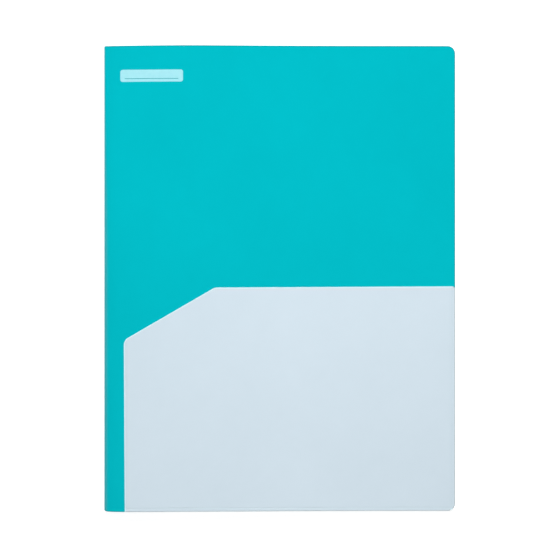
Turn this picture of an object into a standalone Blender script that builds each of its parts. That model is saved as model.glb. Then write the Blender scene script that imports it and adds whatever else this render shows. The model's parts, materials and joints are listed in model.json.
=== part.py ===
"""A four-pocket document folder of plastic sheet, closed and lying on its back cover.

One sheet is creased into a back cover, a leaning spine and a front cover.
Four smaller sheets are welded to the faces of the two covers along three edges, as pockets.
X runs from the spine to the fore-edge, Y from the bottom edge to the top edge, and Z is up.
"""

import math

import bmesh
import bpy
from mathutils import Vector

MM = 0.001

# Cover sheet, with its width measured from the crease beside it to the fore-edge
COVER_WIDTH = 229 * MM
COVER_HEIGHT = 308 * MM
COVER_THICKNESS = 0.5 * MM
COVER_CORNER_RADIUS = 5 * MM

# Spine between its two creases, and the slope at which it climbs over the closed folder
SPINE_WIDTH = 8 * MM
SPINE_SLOPE = math.radians(60)

# Pocket sheets, with a slanted corner at the spine side of the mouth
POCKET_THICKNESS = 0.35 * MM
POCKET_HEIGHT = 148.5 * MM
POCKET_SPINE_MARGIN = 9.4 * MM
SLANT_RUN = 60 * MM
SLANT_DROP = 34.7 * MM
SLANT_LOWER_RADIUS = 5 * MM
SLANT_UPPER_RADIUS = 4 * MM
MOUTH_CORNER_RADIUS = 2 * MM

# Welded margins that hold each pocket sheet to its cover
SIDE_WELD_WIDTH = 3 * MM
BOTTOM_WELD_WIDTH = 2.5 * MM

# Clearances
SEAT_GAP = 0.1 * MM
PANEL_GAP = 0.2 * MM
CREASE_CLEARANCE = 0.2 * MM
FORE_EDGE_GAP = 0.85 * MM

# Finish
TURQUOISE = (0.0003, 0.54, 0.59, 1.0)
PALE_GREY_BLUE = (0.67, 0.77, 0.84, 1.0)
SHEET_ROUGHNESS = 0.45
ARC_STEPS = 8

# From the middle of a cover's thickness to the outer face of a pocket on it
LEAF_HALF_THICKNESS = COVER_THICKNESS / 2 + SEAT_GAP + POCKET_THICKNESS


def clear_scene():
    for obj in list(bpy.data.objects):
        bpy.data.objects.remove(obj)


def plastic(name, colour):
    material = bpy.data.materials.new(name)
    material.use_nodes = True
    shader = material.node_tree.nodes["Principled BSDF"]
    shader.inputs["Base Color"].default_value = colour
    shader.inputs["Roughness"].default_value = SHEET_ROUGHNESS
    shader.inputs["Metallic"].default_value = 0.0
    return material


def empty(name, parent, location, turn=0.0):
    """A pivot that stands on a crease, turned about Y by the fold that it holds."""
    pivot = bpy.data.objects.new(name, None)
    bpy.context.collection.objects.link(pivot)
    pivot.parent = parent
    pivot.location = location
    pivot.rotation_euler = (0.0, turn, 0.0)
    return pivot


def rounded(corners):
    """Points round an outline whose corners are given as x, y and radius."""
    points = []
    for index, (x, y, radius) in enumerate(corners):
        corner = Vector((x, y))
        if radius == 0:
            points.append(corner)
            continue
        before = (Vector(corners[index - 1][:2]) - corner).normalized()
        after = (Vector(corners[(index + 1) % len(corners)][:2]) - corner).normalized()
        half = before.angle(after) / 2
        centre = corner + (before + after).normalized() * radius / math.sin(half)
        start = corner + before * radius / math.tan(half) - centre
        sweep = math.pi - 2 * half
        side = 1 if before.cross(after) < 0 else -1
        for step in range(ARC_STEPS + 1):
            turn = side * sweep * step / ARC_STEPS
            points.append(
                centre
                + Vector(
                    (
                        start.x * math.cos(turn) - start.y * math.sin(turn),
                        start.x * math.sin(turn) + start.y * math.cos(turn),
                    )
                )
            )
    return points


def plate(name, points, thickness, colour, parent, location=(0.0, 0.0, 0.0)):
    """A flat sheet piece, from its outline in XY and its thickness up from its own origin."""
    mesh = bpy.data.meshes.new(name)
    bm = bmesh.new()
    face = bm.faces.new([bm.verts.new((p[0], p[1], 0.0)) for p in points])
    raised = bmesh.ops.extrude_face_region(bm, geom=[face])["geom"]
    bmesh.ops.translate(
        bm,
        verts=[item for item in raised if isinstance(item, bmesh.types.BMVert)],
        vec=(0.0, 0.0, thickness),
    )
    bmesh.ops.recalc_face_normals(bm, faces=bm.faces)
    bm.to_mesh(mesh)
    bm.free()
    obj = bpy.data.objects.new(name, mesh)
    bpy.context.collection.objects.link(obj)
    obj.data.materials.append(plastic(name, colour))
    obj.parent = parent
    obj.location = location
    return obj


def crease_gap(fold):
    """Half the gap at a crease, so that the inner corners beside it clear each other when folded."""
    return (COVER_THICKNESS * math.tan(fold / 2) + CREASE_CLEARANCE) / 2


def slant_height(across):
    """How high the slanted edge stands at a distance from the pocket's spine-side edge."""
    return POCKET_HEIGHT - SLANT_DROP + across * SLANT_DROP / SLANT_RUN


def cover(name, parent, side, fold):
    """A cover from its crease to its fore-edge, along X in the direction given by side."""
    bottom, top = -COVER_HEIGHT / 2, COVER_HEIGHT / 2
    near, far = crease_gap(fold), COVER_WIDTH
    outline = rounded(
        (
            (near, bottom, 0),
            (far, bottom, COVER_CORNER_RADIUS),
            (far, top, COVER_CORNER_RADIUS),
            (near, top, 0),
        )
    )
    points = [(side * p.x, p.y) for p in outline]
    plate(name, points, COVER_THICKNESS, TURQUOISE, parent, (0.0, 0.0, -COVER_THICKNESS / 2))


def pocket(name, parent, side, face):
    """A pocket's welded margin and its free panel, above or below a cover as face is 1 or -1."""
    bottom = -COVER_HEIGHT / 2
    near, far = POCKET_SPINE_MARGIN, COVER_WIDTH
    inner_near, inner_far = near + SIDE_WELD_WIDTH, far - SIDE_WELD_WIDTH
    weld = rounded(
        (
            (near, 0, 0),
            (far, 0, COVER_CORNER_RADIUS),
            (far, POCKET_HEIGHT, MOUTH_CORNER_RADIUS),
            (inner_far, POCKET_HEIGHT, 0),
            (inner_far, BOTTOM_WELD_WIDTH, 0),
            (inner_near, BOTTOM_WELD_WIDTH, 0),
            (inner_near, slant_height(SIDE_WELD_WIDTH), 0),
            (near, slant_height(0), SLANT_LOWER_RADIUS),
        )
    )
    panel_near, panel_far = inner_near + PANEL_GAP, inner_far - PANEL_GAP
    hinge_height = BOTTOM_WELD_WIDTH + PANEL_GAP
    panel = rounded(
        (
            (panel_near, 0, 0),
            (panel_far, 0, 0),
            (panel_far, POCKET_HEIGHT - hinge_height, 0),
            (near + SLANT_RUN, POCKET_HEIGHT - hinge_height, SLANT_UPPER_RADIUS),
            (panel_near, slant_height(panel_near - near) - hinge_height, 0),
        )
    )
    seat = face * (COVER_THICKNESS / 2 + SEAT_GAP)
    thickness = face * POCKET_THICKNESS
    pieces = ((f"{name}_weld", weld, bottom), (f"{name}_pocket", panel, bottom + hinge_height))
    for piece, outline, height in pieces:
        points = [(side * p.x, p.y) for p in outline]
        plate(piece, points, thickness, PALE_GREY_BLUE, parent, (0.0, height, seat))


def leaf(name, parent, side, fold):
    """One cover with a pocket on its inner face, which is up when the folder is open, and its outer."""
    cover(f"{name}_cover", parent, side, fold)
    pocket(f"{name}_inner", parent, side, 1)
    pocket(f"{name}_outer", parent, side, -1)


def spine(name, parent, back_fold, front_fold):
    """The panel between the two creases."""
    bottom, top = -COVER_HEIGHT / 2, COVER_HEIGHT / 2
    near, far = -crease_gap(back_fold), crease_gap(front_fold) - SPINE_WIDTH
    points = [(near, bottom), (far, bottom), (far, top), (near, top)]
    plate(name, points, COVER_THICKNESS, TURQUOISE, parent, (0.0, 0.0, -COVER_THICKNESS / 2))


def fold_angles():
    """How far the back and front creases are folded, with the front cover down at its fore-edge."""
    rise = SPINE_WIDTH * math.sin(SPINE_SLOPE)
    fall = math.asin((rise - 2 * LEAF_HALF_THICKNESS - FORE_EDGE_GAP) / COVER_WIDTH)
    return math.pi - SPINE_SLOPE, SPINE_SLOPE + fall


def stand_at_origin(root):
    """Moves the folder so that the middle of its underside is at the origin."""
    bpy.context.view_layer.update()
    points = [
        obj.matrix_world @ vertex.co
        for obj in bpy.data.objects
        if obj.type == "MESH"
        for vertex in obj.data.vertices
    ]
    low = [min(p[axis] for p in points) for axis in range(3)]
    high = [max(p[axis] for p in points) for axis in range(3)]
    root.location = (-(low[0] + high[0]) / 2, -(low[1] + high[1]) / 2, -low[2])
    bpy.context.view_layer.update()


clear_scene()
back_angle, front_angle = fold_angles()
folder = empty("folder", None, (0.0, 0.0, 0.0))
leaf("back", folder, 1, back_angle)
back_crease = empty("back_crease", folder, (0.0, 0.0, 0.0), back_angle)
spine("spine", back_crease, back_angle, front_angle)
front_crease = empty("front_crease", back_crease, (-SPINE_WIDTH, 0.0, 0.0), front_angle)
leaf("front", front_crease, -1, front_angle)
stand_at_origin(folder)
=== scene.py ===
"""The looks of a closed four-pocket document folder, built over its fixed CAD frame.

X runs from the spine to the fore-edge, Y from the tail to the head, and Z is up, in metres.
"""

import json
import math

import bmesh
import bpy
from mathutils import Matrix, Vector


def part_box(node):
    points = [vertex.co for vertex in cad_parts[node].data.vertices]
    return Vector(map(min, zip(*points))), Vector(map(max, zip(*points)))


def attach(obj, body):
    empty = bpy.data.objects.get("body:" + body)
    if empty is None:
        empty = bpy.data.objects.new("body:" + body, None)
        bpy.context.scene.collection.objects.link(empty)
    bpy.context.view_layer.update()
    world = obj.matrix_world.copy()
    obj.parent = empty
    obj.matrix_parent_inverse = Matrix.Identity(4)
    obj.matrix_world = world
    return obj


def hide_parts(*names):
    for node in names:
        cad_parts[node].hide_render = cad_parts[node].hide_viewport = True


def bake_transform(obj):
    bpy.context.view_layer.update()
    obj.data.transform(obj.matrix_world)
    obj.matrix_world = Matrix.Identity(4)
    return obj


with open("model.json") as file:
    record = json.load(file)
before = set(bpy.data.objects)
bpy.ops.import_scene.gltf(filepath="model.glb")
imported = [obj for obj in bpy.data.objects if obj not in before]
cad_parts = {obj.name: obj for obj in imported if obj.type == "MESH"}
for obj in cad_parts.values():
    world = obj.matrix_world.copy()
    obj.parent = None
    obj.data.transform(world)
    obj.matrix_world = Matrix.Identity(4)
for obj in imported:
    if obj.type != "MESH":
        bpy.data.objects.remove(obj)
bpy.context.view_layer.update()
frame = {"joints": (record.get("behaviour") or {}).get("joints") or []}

# Cover sheet
# One sheet of turquoise polypropylene, die-cut with round fore-edge corners and creased twice into back
# cover, spine and front cover. The back crease is sharp. The front crease is a soft roll that runs out
# into the front cover, furthest at the head, where the spine is pressed down.

MM = 0.001
joints = {joint["name"]: joint for joint in frame["joints"]}
back_low, back_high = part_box("back_cover")
BACK_CREASE = Vector(joints["cover_opening"]["pos_m"])
FRONT_CREASE = Vector(joints["front_crease"]["pos_m"])
COVER_THICKNESS = back_high.z - back_low.z
COVER_HEIGHT = back_high.y - back_low.y
COVER_WIDTH = back_high.x - BACK_CREASE.x
SPINE_WIDTH = (FRONT_CREASE - BACK_CREASE).length
OPENING_TURN = joints["cover_opening"]["range_deg"][1] + joints["front_crease"]["range_deg"][1]
FRONT_COVER_FALL = math.radians(OPENING_TURN - 180)

TOWARDS_SPINE = Vector((-1.0, 0.0, 0.0))
UP_THE_SPINE = (FRONT_CREASE - BACK_CREASE).normalized()
ALONG_FRONT = Vector((math.cos(FRONT_COVER_FALL), 0.0, -math.sin(FRONT_COVER_FALL)))

# Corners and rims, and the narrow margin along the cut edges, painted darker as edge shade
FORE_EDGE_RADIUS = 5 * MM
CORNER_SEGMENTS = 8
RIM_ROUNDING = 0.08 * MM
RIM_SEGMENTS = 2
SHADED_EDGE_MARGIN = 0.4 * MM

# How far each crease bends the sheet, and the groove that was scored inside it
BACK_CREASE_REACH = 1.5 * MM
BACK_CREASE_STEPS = 14
ROLL_ON_SPINE = 3.5 * MM
ROLL_AT_MIDDLE = 14 * MM
ROLL_AT_HEAD = 28 * MM
ROLL_AT_TAIL = 18 * MM
ROLL_STEPS = 24
SCORE_HALF_WIDTH = 0.45 * MM
SCORE_DEPTH = 0.1 * MM
STRESS_REACH = 1.4 * MM
BACK_CREASE_STRESS = 0.6

# How the loose front leaf sways and sags, and how the head of the spine is pressed
SWAY = 0.2 * MM
SWAY_LENGTH = 170 * MM
SWAY_HEIGHT = 272 * MM
SWAY_PHASE_ALONG = 0.7
SWAY_PHASE_UP = 0.5
SWAY_START = 20 * MM
SWAY_FULL = 70 * MM
SAG = 1.2 * MM
SAG_MIDDLE = 130 * MM
PINCH = Vector((-1.1 * MM, 0.0, -3.2 * MM))
PINCH_START = 10 * MM
PINCH_REACH = 60 * MM
SHEET_CELL = 8 * MM


def smooth(value, low, high):
    """A share that rises from 0 at low to 1 at high, level at both ends."""
    share = min(max((value - low) / (high - low), 0.0), 1.0)
    return share * share * (3 - 2 * share)


def over_crease(along, crease, before, after, reach_before, reach_after):
    """Where the middle of the sheet lies at a distance along it from a crease, and its outward normal.

    The bend is a parabola that leaves the flat sheet at one reach and joins it again at the other.
    """
    if along <= -reach_before:
        point, tangent = crease + before * along, before
    elif along >= reach_after:
        point, tangent = crease + after * along, after
    else:
        run = along + reach_before
        t = run / (reach_before + math.sqrt(reach_before**2 + (reach_after - reach_before) * run))
        start = -reach_before * before
        end = reach_after * after
        point = crease + start * (1 - t) ** 2 + end * t**2
        tangent = (end * t - start * (1 - t)).normalized()
    return point, Vector((-tangent.z, 0.0, tangent.x))


def roll_reach(y):
    """How far the soft roll runs out into the front cover at a height up the spine."""
    end = ROLL_AT_HEAD if y > 0 else ROLL_AT_TAIL
    return ROLL_AT_MIDDLE + (end - ROLL_AT_MIDDLE) * (2 * y / COVER_HEIGHT) ** 2


def pinched(along, y):
    """How far the head of the spine is pressed down, at a distance from the front crease."""
    across = 1 - smooth(along, 0, PINCH_REACH) if along > 0 else smooth(along, -SPINE_WIDTH, 0)
    return PINCH * across * smooth(y, PINCH_START, COVER_HEIGHT / 2)


def sway(along, y):
    """How far the front leaf stands out of its plane: a loose sheet sags, and is never quite flat."""
    wave_along = math.sin(math.tau * along / SWAY_LENGTH + SWAY_PHASE_ALONG)
    wave_up = math.cos(math.tau * y / SWAY_HEIGHT + SWAY_PHASE_UP)
    dip = smooth(along, 0, SAG_MIDDLE) - smooth(along, SAG_MIDDLE, COVER_WIDTH)
    return SWAY * smooth(along, SWAY_START, SWAY_FULL) * wave_along * wave_up - SAG * dip


def on_front(along, y, through):
    """A point of the front leaf, from its distance past the front crease and its height in the sheet."""
    point, outward = over_crease(
        along, FRONT_CREASE, UP_THE_SPINE, ALONG_FRONT, ROLL_ON_SPINE, roll_reach(y)
    )
    point = point + outward * (through + sway(along, y)) + pinched(along, y)
    return Vector((point.x, y, point.z))


def on_back(along, y, through):
    """A point of the back leaf, from its distance past the back crease, negative on the cover."""
    point, outward = over_crease(
        along, BACK_CREASE, TOWARDS_SPINE, UP_THE_SPINE, BACK_CREASE_REACH, BACK_CREASE_REACH
    )
    point = point + outward * through + pinched(along - SPINE_WIDTH, y)
    return Vector((point.x, y, point.z))


# A face belongs to a sheet's two sides, and not to its rim, where its normal is more upright than this
FLAT = 0.99

# Places of the two finishes in a sheet's list of materials
# The rim finish paints edge light: darker shade on the cover, a paler highlight on the pockets
SHEET_FACE, RIM_PAINTED_LIGHT = 0, 1


def blank(corners, low, high, rounding, seam=None):
    """A flat sheet piece, from its corners as along, up and radius, and its two faces' heights.

    An edge that lies on the seam to another piece of the same sheet stays square.
    """
    bm = bmesh.new()
    verts = [bm.verts.new((along, up, low)) for along, up, _ in corners]
    bm.faces.new(verts)
    for vert, (_, _, radius) in zip(verts, corners):
        if radius:
            legs = [edge.other_vert(vert).co - vert.co for edge in vert.link_edges]
            reach = radius / math.tan(legs[0].angle(legs[1]) / 2)
            bmesh.ops.bevel(
                bm, geom=[vert], offset=reach, offset_type="OFFSET", segments=CORNER_SEGMENTS,
                profile=0.5, affect="VERTICES", material=-1,
            )
    raised = bmesh.ops.extrude_face_region(bm, geom=bm.faces[:])["geom"]
    lifted = [item for item in raised if isinstance(item, bmesh.types.BMVert)]
    bmesh.ops.translate(bm, verts=lifted, vec=(0.0, 0.0, high - low))
    bmesh.ops.recalc_face_normals(bm, faces=bm.faces)
    rim = [
        edge
        for edge in bm.edges
        if sum(abs(face.normal.z) > FLAT for face in edge.link_faces) == 1
        and not (seam is not None and all(abs(vert.co.x - seam) < RIM_ROUNDING for vert in edge.verts))
    ]
    bmesh.ops.bevel(
        bm, geom=rim, offset=rounding, offset_type="OFFSET", segments=RIM_SEGMENTS,
        profile=0.5, affect="EDGES", material=-1,
    )
    for face in bm.faces:
        face.material_index = SHEET_FACE if abs(face.normal.z) > FLAT else RIM_PAINTED_LIGHT
    return bm


def margin_faces(bm, side, width):
    """A narrow margin all round the upper or lower face of a flat piece, as side is 1 or -1."""
    shown = max(bm.faces, key=lambda face: side * face.calc_center_median().z)
    return bmesh.ops.inset_region(bm, faces=[shown], thickness=width, use_even_offset=True)["faces"]


ALONG, UP = 0, 1
CUT_TOLERANCE = 1e-7


def cut(bm, axis, places):
    """Cuts a flat piece at places along it or up it, so that it can bend there."""
    for place in places:
        point, normal = Vector(), Vector()
        point[axis] = place
        normal[axis] = 1.0
        geom = bm.verts[:] + bm.edges[:] + bm.faces[:]
        bmesh.ops.bisect_plane(bm, geom=geom, dist=CUT_TOLERANCE, plane_co=point, plane_no=normal)


def spaced(low, high, cell):
    """Places between two ends, about a cell apart."""
    count = max(1, round((high - low) / cell))
    return [low + (high - low) * step / count for step in range(1, count)]


def bend_places(reach_before, reach_after, steps):
    """Places along a sheet from a crease that divide its bend evenly."""
    shares = [step / steps for step in range(steps + 1)]
    return [2 * reach_before * t + (reach_after - reach_before) * t * t - reach_before for t in shares]


SHARP_ANGLE = math.radians(20)


def finished(name, bm, *materials):
    """The object made from a bmesh, with smooth faces between its sharp edges."""
    bmesh.ops.recalc_face_normals(bm, faces=bm.faces)
    mesh = bpy.data.meshes.new(name)
    bm.to_mesh(mesh)
    bm.free()
    mesh.shade_smooth()
    mesh.set_sharp_from_angle(angle=SHARP_ANGLE)
    for material in materials:
        mesh.materials.append(material)
    obj = bpy.data.objects.new(name, mesh)
    bpy.context.scene.collection.objects.link(obj)
    return obj


def linear(colour):
    """An sRGB hex colour as linear RGBA."""
    channels = [int(colour[start : start + 2], 16) / 255 for start in (1, 3, 5)]
    return [c / 12.92 if c <= 0.04045 else ((c + 0.055) / 1.055) ** 2.4 for c in channels] + [1.0]


def add(tree, kind, inputs=None, **settings):
    """Adds a node with its settings, and sets or links each named input."""
    made = tree.nodes.new(kind)
    for key, value in settings.items():
        setattr(made, key, value)
    for key, value in (inputs or {}).items():
        if isinstance(value, bpy.types.NodeSocket):
            tree.links.new(value, made.inputs[key])
        else:
            made.inputs[key].default_value = value
    return made


POLYPROPYLENE_IOR = 1.49


def polypropylene(name, colour, shade, stressed=None):
    """Extruded polypropylene sheet with a fine sand emboss.

    To the eye it is an even satin colour, a little cloudy and mottled. The sand is 0.2 mm, too fine to
    show, so it is drawn at 0.9 mm. It scatters the gloss, so the specular level is low. A crease turns
    paler where the plastic was stretched.
    """
    sand, mottle, cloud = 0.9 * MM, 9 * MM, 70 * MM
    sand_depth = 0.02 * MM
    mottle_share = 0.3
    smoothest, roughest = 0.28, 0.36
    material = bpy.data.materials.new(name)
    material.use_nodes = True
    tree = material.node_tree
    shader = tree.nodes["Principled BSDF"]
    place = add(tree, "ShaderNodeTexCoord").outputs["Object"]
    clouds = add(tree, "ShaderNodeTexNoise", {"Vector": place, "Scale": 1 / cloud, "Detail": 2.0})
    mottles = add(tree, "ShaderNodeTexNoise", {"Vector": place, "Scale": 1 / mottle, "Detail": 2.0})
    grit = add(tree, "ShaderNodeTexNoise", {"Vector": place, "Scale": 1 / sand, "Detail": 2.0})
    patchy = add(
        tree,
        "ShaderNodeMix",
        {"Factor": mottle_share, "A": clouds.outputs["Fac"], "B": mottles.outputs["Fac"]},
        data_type="FLOAT",
    ).outputs["Result"]
    base = add(
        tree,
        "ShaderNodeMix",
        {"Factor": patchy, "A": linear(shade), "B": linear(colour)},
        data_type="RGBA",
    ).outputs["Result"]
    if stressed:
        crease = add(tree, "ShaderNodeAttribute", attribute_name="crease").outputs["Fac"]
        base = add(
            tree,
            "ShaderNodeMix",
            {"Factor": crease, "A": base, "B": linear(stressed)},
            data_type="RGBA",
        ).outputs["Result"]
    gloss = add(
        tree, "ShaderNodeMapRange", {"Value": patchy, "To Min": smoothest, "To Max": roughest}
    ).outputs["Result"]
    bump = add(
        tree,
        "ShaderNodeBump",
        {"Strength": 0.2, "Distance": sand_depth, "Height": grit.outputs["Fac"]},
    ).outputs["Normal"]
    tree.links.new(base, shader.inputs["Base Color"])
    tree.links.new(gloss, shader.inputs["Roughness"])
    tree.links.new(bump, shader.inputs["Normal"])
    shader.inputs["IOR"].default_value = POLYPROPYLENE_IOR
    shader.inputs["Specular IOR Level"].default_value = 0.2
    return material


def cut_edge_painted_light(name, colour, shade):
    """The rim that the cutting die leaves: duller than the face, with fine drag lines along it. Its
    colour is painted edge light, darker than the face where it paints shade and paler where it paints a
    highlight.
    """
    drag_line = 0.6 * MM
    material = bpy.data.materials.new(name)
    material.use_nodes = True
    tree = material.node_tree
    shader = tree.nodes["Principled BSDF"]
    place = add(tree, "ShaderNodeTexCoord").outputs["Object"]
    drag = add(tree, "ShaderNodeTexNoise", {"Vector": place, "Scale": 1 / drag_line, "Detail": 1.0})
    base = add(
        tree,
        "ShaderNodeMix",
        {"Factor": drag.outputs["Fac"], "A": linear(shade), "B": linear(colour)},
        data_type="RGBA",
    ).outputs["Result"]
    tree.links.new(base, shader.inputs["Base Color"])
    shader.inputs["Roughness"].default_value = 0.6
    shader.inputs["Specular IOR Level"].default_value = 0.2
    return material


turquoise_sheet = polypropylene("turquoise_polypropylene_sheet", "#00BFCA", "#00B4BF", "#4CCFD8")
# Painted shade: the cover's rim and the margin along its cut edges are a darker turquoise
turquoise_rim_painted_shade = cut_edge_painted_light("turquoise_cut_edge_painted_shade", "#009CA4", "#00919A")


def cover_half(name, fore_edge, seam, bends, place, stress=0.0):
    """Half of the cover sheet, from its fore-edge to its seam in the middle of the spine.

    Stress is how far its crease has turned pale, from 0 to 1.
    """
    tail, head = -COVER_HEIGHT / 2, COVER_HEIGHT / 2
    bm = blank(
        (
            (seam, tail, 0),
            (fore_edge, tail, FORE_EDGE_RADIUS),
            (fore_edge, head, FORE_EDGE_RADIUS),
            (seam, head, 0),
        ),
        -COVER_THICKNESS / 2,
        COVER_THICKNESS / 2,
        RIM_ROUNDING,
        seam,
    )
    # The seam is no cut edge, so its margin keeps the finish of the sheet. Along the cut edges the margin
    # takes the darker rim colour, as painted edge shade
    for face in margin_faces(bm, 1, SHADED_EDGE_MARGIN):
        if abs(face.calc_center_median().x - seam) > SHADED_EDGE_MARGIN:
            face.material_index = RIM_PAINTED_LIGHT
    flat_start = math.copysign(max(abs(bend) for bend in bends), fore_edge)
    cut(bm, ALONG, bends)
    cut(bm, ALONG, spaced(flat_start, fore_edge, math.copysign(SHEET_CELL, fore_edge)))
    cut(bm, UP, spaced(tail, head, SHEET_CELL))
    crease = bm.verts.layers.float.new("crease")
    for vert in bm.verts:
        along, y, through = vert.co
        vert[crease] = stress * (1 - smooth(abs(along), 0, STRESS_REACH))
        if through < 0:
            through += SCORE_DEPTH * (1 - smooth(abs(along), 0, SCORE_HALF_WIDTH))
        vert.co = place(along, y, through)
    half = finished(name, bm, turquoise_sheet, turquoise_rim_painted_shade)
    return half


back_bends = bend_places(BACK_CREASE_REACH, BACK_CREASE_REACH, BACK_CREASE_STEPS)
cover_back = cover_half(
    "cover_sheet_back", -COVER_WIDTH, SPINE_WIDTH / 2, back_bends, on_back, BACK_CREASE_STRESS
)
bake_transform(cover_back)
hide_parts("back_cover")

front_bends = bend_places(ROLL_ON_SPINE, ROLL_AT_HEAD, ROLL_STEPS)
cover_front = cover_half("cover_sheet_front", COVER_WIDTH, -SPINE_WIDTH / 2, front_bends, on_front)
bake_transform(cover_front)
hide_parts("spine", "front_cover")

# Pocket sheets
# Four sheets of pale polypropylene, one on each face of each cover, cut with a slant at the spine side
# of the mouth. Each is welded to its cover along both sides and the tail, in one pressed line. The free
# mouth bows a little away from the cover, and each sheet is made as two halves that meet at its middle.

weld_low, weld_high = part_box("back_inner_weld")
POCKET_THICKNESS = weld_high.z - weld_low.z
POCKET_SEAT = weld_low.z - BACK_CREASE.z
POCKET_NEAR = weld_low.x - BACK_CREASE.x
POCKET_FAR = COVER_WIDTH
POCKET_TAIL = weld_low.y
POCKET_MOUTH = weld_high.y
POCKET_MIDDLE = (POCKET_NEAR + POCKET_FAR) / 2
SLANT_RUN = 60 * MM
SLANT_DROP = 34.4 * MM
SLANT_LOWER_RADIUS = 5 * MM
SLANT_UPPER_RADIUS = 4 * MM
MOUTH_RADIUS = 2 * MM
POCKET_RIM_ROUNDING = 0.06 * MM
PAINTED_LIGHT_MARGIN = 0.6 * MM
TRIMMED_SHADE_REACH = 1.6 * MM
POCKET_CELL = 4.5 * MM
SIDE_WELD = 3 * MM
WELD_LINE = 2.3 * MM
WELD_HALF_WIDTH = 0.5 * MM
WELD_FLOOR_HALF_WIDTH = 0.3 * MM
WELD_DEPTH = 0.08 * MM
WELD_SINK = 0.06 * MM
WELD_SHOWS = 0.2
OUTER_GAPE = 0.35 * MM
INNER_GAPE = 0.15 * MM
ASKEW = 0.005
ASKEW_PIVOT = Vector((174 * MM, 87 * MM))

pale_sheet = polypropylene("pale_polypropylene_sheet", "#D7E6F0", "#CEDEE8")
# Painted highlight: the pocket's rim and the margin along its free cut edges are paler than the sheet
pale_rim_painted_highlight = cut_edge_painted_light("pale_cut_edge_painted_highlight", "#DDF4FA", "#D3EFF7")
# Painted shade: the pocket's margin along the fore-edge and tail, trimmed with the cover, is grey
trimmed_rim_painted_shade = cut_edge_painted_light("pale_edge_painted_shade_trimmed_with_cover", "#C2CDD2", "#B9C5CB")


def weld_line(name, colour, shade):
    """The line that the welding tool presses: smoother than the sheet, with a fine slanted hatch.

    The hatch is 0.5 mm apart, too fine to show, so it is drawn at 1.2 mm. At a scale of 1 the bands of
    the wave are tau / 10 apart along each axis.
    """
    hatch = 1.2 * MM
    hatch_depth = 0.04 * MM
    bands_apart = math.tau / 10
    material = bpy.data.materials.new(name)
    material.use_nodes = True
    tree = material.node_tree
    shader = tree.nodes["Principled BSDF"]
    place = add(tree, "ShaderNodeTexCoord").outputs["Object"]
    ridges = add(
        tree,
        "ShaderNodeTexWave",
        {"Vector": place, "Scale": bands_apart / hatch},
        wave_type="BANDS",
        bands_direction="DIAGONAL",
    ).outputs["Fac"]
    base = add(
        tree,
        "ShaderNodeMix",
        {"Factor": ridges, "A": linear(shade), "B": linear(colour)},
        data_type="RGBA",
    ).outputs["Result"]
    bump = add(
        tree, "ShaderNodeBump", {"Strength": 0.5, "Distance": hatch_depth, "Height": ridges}
    ).outputs["Normal"]
    tree.links.new(base, shader.inputs["Base Color"])
    tree.links.new(bump, shader.inputs["Normal"])
    shader.inputs["Roughness"].default_value = 0.32
    shader.inputs["IOR"].default_value = POLYPROPYLENE_IOR
    return material


pale_weld = weld_line("pale_pressed_weld", "#D3E3EC", "#CEE0EA")


def weld_press(along, y):
    """How fully the weld line is pressed at a place on the pocket, from 0 to 1."""
    near, far, tail = POCKET_NEAR + WELD_LINE, POCKET_FAR - WELD_LINE, POCKET_TAIL + WELD_LINE
    below = min(0.0, y - tail)
    past = max(near - along, along - far, 0.0)
    distance = min(
        math.hypot(along - near, below), math.hypot(along - far, below), math.hypot(past, y - tail)
    )
    share = (distance - WELD_FLOOR_HALF_WIDTH) / (WELD_HALF_WIDTH - WELD_FLOOR_HALF_WIDTH)
    return 1 - min(max(share, 0.0), 1.0)


# Places of a pocket's weld finish and its grey painted edge shade in its list of materials
PRESSED_WELD, TRIMMED_RIM_PAINTED_SHADE = 2, 3


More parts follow.
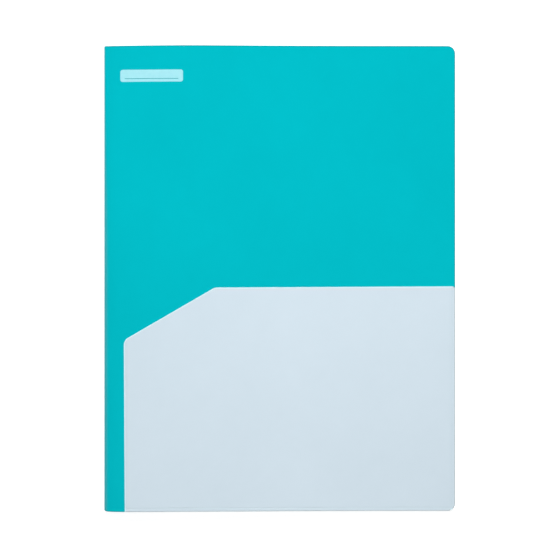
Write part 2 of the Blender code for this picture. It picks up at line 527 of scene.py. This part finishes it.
def pocket_sheet(face, askew):
    """A whole pocket sheet, flat, on the outer or inner face of its cover as face is 1 or -1.

    Its fore-edge and tail are trimmed with the cover, and its other edges are turned by askew.
    """
    seat, outside = face * POCKET_SEAT, face * (POCKET_SEAT + POCKET_THICKNESS)

    def turned(along, y):
        """A place on the sheet, moved as the sheet is turned on its cover."""
        return along + askew * (ASKEW_PIVOT.y - y), y + askew * (along - ASKEW_PIVOT.x)

    bm = blank(
        (
            (turned(POCKET_NEAR, POCKET_TAIL)[0], POCKET_TAIL, 0),
            (POCKET_FAR, POCKET_TAIL, FORE_EDGE_RADIUS),
            (POCKET_FAR, turned(POCKET_FAR, POCKET_MOUTH)[1], MOUTH_RADIUS),
            (*turned(POCKET_NEAR + SLANT_RUN, POCKET_MOUTH), SLANT_UPPER_RADIUS),
            (*turned(POCKET_NEAR, POCKET_MOUTH - SLANT_DROP), SLANT_LOWER_RADIUS),
        ),
        seat,
        outside,
        POCKET_RIM_ROUNDING,
    )
    # The margin is painted: grey shade along the fore-edge and tail, a paler highlight along the free cut
    # edges
    for each in margin_faces(bm, face, PAINTED_LIGHT_MARGIN):
        middle = each.calc_center_median()
        trimmed = middle.x > POCKET_FAR - TRIMMED_SHADE_REACH or middle.y < POCKET_TAIL + PAINTED_LIGHT_MARGIN
        each.material_index = TRIMMED_RIM_PAINTED_SHADE if trimmed else RIM_PAINTED_LIGHT
    offsets = (-WELD_HALF_WIDTH, -WELD_FLOOR_HALF_WIDTH, WELD_FLOOR_HALF_WIDTH, WELD_HALF_WIDTH)
    cut(bm, ALONG, [POCKET_NEAR + WELD_LINE + offset for offset in offsets])
    cut(bm, ALONG, [POCKET_FAR - WELD_LINE + offset for offset in offsets])
    cut(bm, UP, [POCKET_TAIL + WELD_LINE + offset for offset in offsets])
    cut(bm, ALONG, spaced(POCKET_NEAR + SIDE_WELD, POCKET_FAR - SIDE_WELD, POCKET_CELL))
    cut(bm, UP, spaced(POCKET_TAIL + SIDE_WELD, POCKET_MOUTH, POCKET_CELL))
    for each in bm.faces:
        middle = each.calc_center_median()
        if each.material_index == SHEET_FACE and middle.z * face > abs(seat) + WELD_SINK:
            if weld_press(middle.x, middle.y) > WELD_SHOWS:
                each.material_index = PRESSED_WELD
    return bm


def gape(along, y, widest):
    """How far the free sheet stands off its cover at rest, widest at the middle of the mouth."""
    across = math.sin(math.pi * smooth(along, POCKET_NEAR + SIDE_WELD, POCKET_FAR - SIDE_WELD))
    return widest * across * smooth(y, POCKET_TAIL + SIDE_WELD, POCKET_MOUTH)


def pocket(name, face, place, widest_gape=0.0, askew=0.0):
    """The two halves of a pocket, welded to a leaf, with the mouth standing off it by up to the widest
    gape.
    """
    halves = (
        ("spine_half", POCKET_NEAR + SIDE_WELD, 1.0),
        ("fore_edge_half", POCKET_FAR - SIDE_WELD, -1.0),
    )
    for half_name, weld_edge, towards_middle in halves:
        bm = pocket_sheet(face, askew)
        parted = bmesh.ops.bisect_plane(
            bm,
            geom=bm.verts[:] + bm.edges[:] + bm.faces[:],
            dist=CUT_TOLERANCE,
            plane_co=(POCKET_MIDDLE, 0.0, 0.0),
            plane_no=(towards_middle, 0.0, 0.0),
            clear_outer=True,
        )["geom_cut"]
        seam = [item for item in parted if isinstance(item, bmesh.types.BMEdge)]
        bmesh.ops.edgeloop_fill(bm, edges=seam)
        middle_height = POCKET_SEAT + POCKET_THICKNESS / 2
        for vert in bm.verts:
            along, y, through = vert.co
            pressed = WELD_DEPTH if through * face > middle_height else WELD_SINK
            through += face * (gape(along, y, widest_gape) - pressed * weld_press(along, y))
            vert.co = place(along, y, through)
        half = finished(f"{name}_pocket_{half_name}", bm, pale_sheet, pale_rim_painted_highlight, pale_weld, trimmed_rim_painted_shade)
        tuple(place(weld_edge, 0.0, 0.0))
        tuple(place(POCKET_MIDDLE, 0.0, 0.0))
        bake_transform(half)
        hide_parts(f"{name}_weld", f"{name}_pocket")


def on_back_leaf(along, y, through):
    """A point of the back leaf, with its distance from the back crease counted along the cover."""
    return on_back(-along, y, through)


pocket("front_outer", 1, on_front, OUTER_GAPE, ASKEW)
pocket("front_inner", -1, on_front, INNER_GAPE)
pocket("back_inner", -1, on_back_leaf, INNER_GAPE)
pocket("back_outer", 1, on_back_leaf)

# Name strip
# A plain panel for writing a name on, screen printed in pale ink near the head of the spine side, with
# one fine rule. The ink is a thin film that lies on the front cover.

STRIP_START = 8 * MM
STRIP_LENGTH = 41 * MM
STRIP_HEIGHT = 8 * MM
STRIP_BELOW_HEAD = 20 * MM
STRIP_RADIUS = 1.5 * MM
INK_GAP = 0.012 * MM
INK_THICKNESS = 0.014 * MM
INK_ROUNDING = INK_THICKNESS / 4
RULE_MARGIN = 3 * MM
RULE_HEIGHT = 0.4 * MM
RULE_DROP = 1.9 * MM
STRIP_CELL = 1.5 * MM


def ink(name, colour, shade):
    """Screen ink: flat and a little patchy where the mesh laid it thinner."""
    patch = 2.5 * MM
    material = bpy.data.materials.new(name)
    material.use_nodes = True
    tree = material.node_tree
    shader = tree.nodes["Principled BSDF"]
    place = add(tree, "ShaderNodeTexCoord").outputs["Object"]
    patches = add(tree, "ShaderNodeTexNoise", {"Vector": place, "Scale": 1 / patch, "Detail": 2.0})
    base = add(
        tree,
        "ShaderNodeMix",
        {"Factor": patches.outputs["Fac"], "A": linear(shade), "B": linear(colour)},
        data_type="RGBA",
    ).outputs["Result"]
    tree.links.new(base, shader.inputs["Base Color"])
    shader.inputs["Roughness"].default_value = 0.55
    return material


def printed(name, low, high, radius, layers_below, material):
    """A printed shape on the front cover, from two opposite corners and the layers of ink below it."""
    start = COVER_THICKNESS / 2 + INK_GAP + layers_below * (INK_GAP + INK_THICKNESS)
    bm = blank(
        (
            (low[0], low[1], radius),
            (high[0], low[1], radius),
            (high[0], high[1], radius),
            (low[0], high[1], radius),
        ),
        start,
        start + INK_THICKNESS,
        INK_ROUNDING,
    )
    cut(bm, ALONG, spaced(low[0], high[0], STRIP_CELL))
    for vert in bm.verts:
        vert.co = on_front(*vert.co)
    # A film of ink has no rim of its own
    for face in bm.faces:
        face.material_index = SHEET_FACE
    shape = finished(name, bm, material)
    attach(shape, "front_leaf")


pale_ink = ink("pale_screen_ink", "#AEEBF4", "#9FE4EE")
turquoise_ink = ink("turquoise_screen_ink", "#2FB4BF", "#22A9B5")
strip_middle = COVER_HEIGHT / 2 - STRIP_BELOW_HEAD
strip_low = (STRIP_START, strip_middle - STRIP_HEIGHT / 2)
strip_high = (STRIP_START + STRIP_LENGTH, strip_middle + STRIP_HEIGHT / 2)
rule_low = (strip_low[0] + RULE_MARGIN, strip_middle - RULE_DROP - RULE_HEIGHT / 2)
rule_high = (strip_high[0] - RULE_MARGIN, strip_middle - RULE_DROP + RULE_HEIGHT / 2)
printed("name_strip", strip_low, strip_high, STRIP_RADIUS, 0, pale_ink)
printed("name_strip_rule", rule_low, rule_high, 0, 1, turquoise_ink)

# Studio
# A plain pale table in a room with white walls and a dark ceiling, with a polarised soft box beyond the
# head of the folder, which leaves no glare, and a weak plain one beyond its tail. The camera hangs
# straight above.

TABLE_DROP = 0.3 * MM
TABLE_SIZE = 4.0
TABLE_LIFT = 0.86
MIRRORED_SHARE = 0.2
LIT_RADIUS = 0.4
WHITE_RADIUS = 1.2
WALL_TOP = 0.25
CEILING_START = 0.35
CEILING_LEVEL = 0.04
CAMERA_HEIGHT = 800 * MM
VIEW_WIDTH = 369.0 * MM
CAMERA_ACROSS = 0.42 * MM
CAMERA_UP = -1.03 * MM
SENSOR_WIDTH = 36.0
SOFT_BOX_SIZE = 0.7
SOFT_BOX_SPREAD = math.radians(40)
SOFT_BOX_OUT = 1.7
SOFT_BOX_UP = 1.45
HEAD_SOFT_BOX_POWER = 3.65
TAIL_SOFT_BOX_POWER = 0.77
LIT_PLACE = Vector((0.0, 0.02, 0.0))

table_mesh = bpy.data.meshes.new("table")
bm = bmesh.new()
bmesh.ops.create_grid(bm, x_segments=1, y_segments=1, size=TABLE_SIZE)
bmesh.ops.translate(bm, verts=bm.verts, vec=(0.0, 0.0, -TABLE_DROP))
bm.to_mesh(table_mesh)
bm.free()
table = bpy.data.objects.new("table", table_mesh)
bpy.context.scene.collection.objects.link(table)

# Pale grey paint, which throws little light back at the folder's edges. To the eye it is pure white, by a
# glow that only the camera sees in full, that is weak in reflections and lights nothing.
table_paint = bpy.data.materials.new("pale_table_paint")
table_paint.use_nodes = True
tree = table_paint.node_tree
shader = tree.nodes["Principled BSDF"]
shader.inputs["Base Color"].default_value = linear("#BCBCBC")
shader.inputs["Roughness"].default_value = 0.9
shader.inputs["Specular IOR Level"].default_value = 0.0
shader.inputs["Emission Color"].default_value = (1.0, 1.0, 1.0, 1.0)
path = add(tree, "ShaderNodeLightPath")
mirrored = add(
    tree,
    "ShaderNodeMath",
    {0: path.outputs["Is Glossy Ray"], 1: path.outputs["Is Transmission Ray"]},
    operation="MAXIMUM",
).outputs["Value"]
mirrored = add(
    tree, "ShaderNodeMath", {0: mirrored, 1: MIRRORED_SHARE}, operation="MULTIPLY"
).outputs["Value"]
seen = add(
    tree, "ShaderNodeMath", {0: path.outputs["Is Camera Ray"], 1: mirrored}, operation="MAXIMUM"
).outputs["Value"]
place = add(tree, "ShaderNodeTexCoord").outputs["Object"]
distance = add(tree, "ShaderNodeVectorMath", {0: place}, operation="LENGTH").outputs["Value"]
level = add(
    tree,
    "ShaderNodeMapRange",
    {
        "Value": distance,
        "From Min": LIT_RADIUS,
        "From Max": WHITE_RADIUS,
        "To Min": TABLE_LIFT,
        "To Max": 1.0,
    },
).outputs["Result"]
lift = add(tree, "ShaderNodeMath", {0: seen, 1: level}, operation="MULTIPLY").outputs["Value"]
tree.links.new(lift, shader.inputs["Emission Strength"])
table_mesh.materials.append(table_paint)

world = bpy.data.worlds.new("studio_room")
world.use_nodes = True
bpy.context.scene.world = world
tree = world.node_tree
background = tree.nodes["Background"]
direction = add(tree, "ShaderNodeTexCoord").outputs["Generated"]
height = add(tree, "ShaderNodeSeparateXYZ", {"Vector": direction}).outputs["Z"]
room = add(
    tree,
    "ShaderNodeMapRange",
    {
        "Value": height,
        "From Min": WALL_TOP,
        "From Max": CEILING_START,
        "To Min": 1.0,
        "To Max": CEILING_LEVEL,
    },
).outputs["Result"]
background.inputs["Color"].default_value = (1.0, 1.0, 1.0, 1.0)
tree.links.new(room, background.inputs["Strength"])

soft_boxes = (
    ("head_soft_box", SOFT_BOX_OUT, HEAD_SOFT_BOX_POWER, False),
    ("tail_soft_box", -SOFT_BOX_OUT, TAIL_SOFT_BOX_POWER, True),
)
for name, out, power, glares in soft_boxes:
    lamp = bpy.data.lights.new(name, "AREA")
    lamp.shape = "SQUARE"
    lamp.size = SOFT_BOX_SIZE
    lamp.spread = SOFT_BOX_SPREAD
    lamp.energy = power
    box = bpy.data.objects.new(name, lamp)
    box.location = (0.0, out, SOFT_BOX_UP)
    box.rotation_euler = (LIT_PLACE - box.location).to_track_quat("-Z", "Y").to_euler()
    box.visible_glossy = glares
    bpy.context.scene.collection.objects.link(box)

camera_data = bpy.data.cameras.new("camera")
camera_data.sensor_width = SENSOR_WIDTH
camera_data.lens = SENSOR_WIDTH * CAMERA_HEIGHT / VIEW_WIDTH
camera = bpy.data.objects.new("camera", camera_data)
camera.location = (CAMERA_ACROSS, CAMERA_UP, FRONT_CREASE.z + CAMERA_HEIGHT)
bpy.context.scene.collection.objects.link(camera)
bpy.context.scene.camera = camera
bpy.context.scene.view_settings.view_transform = "Standard"
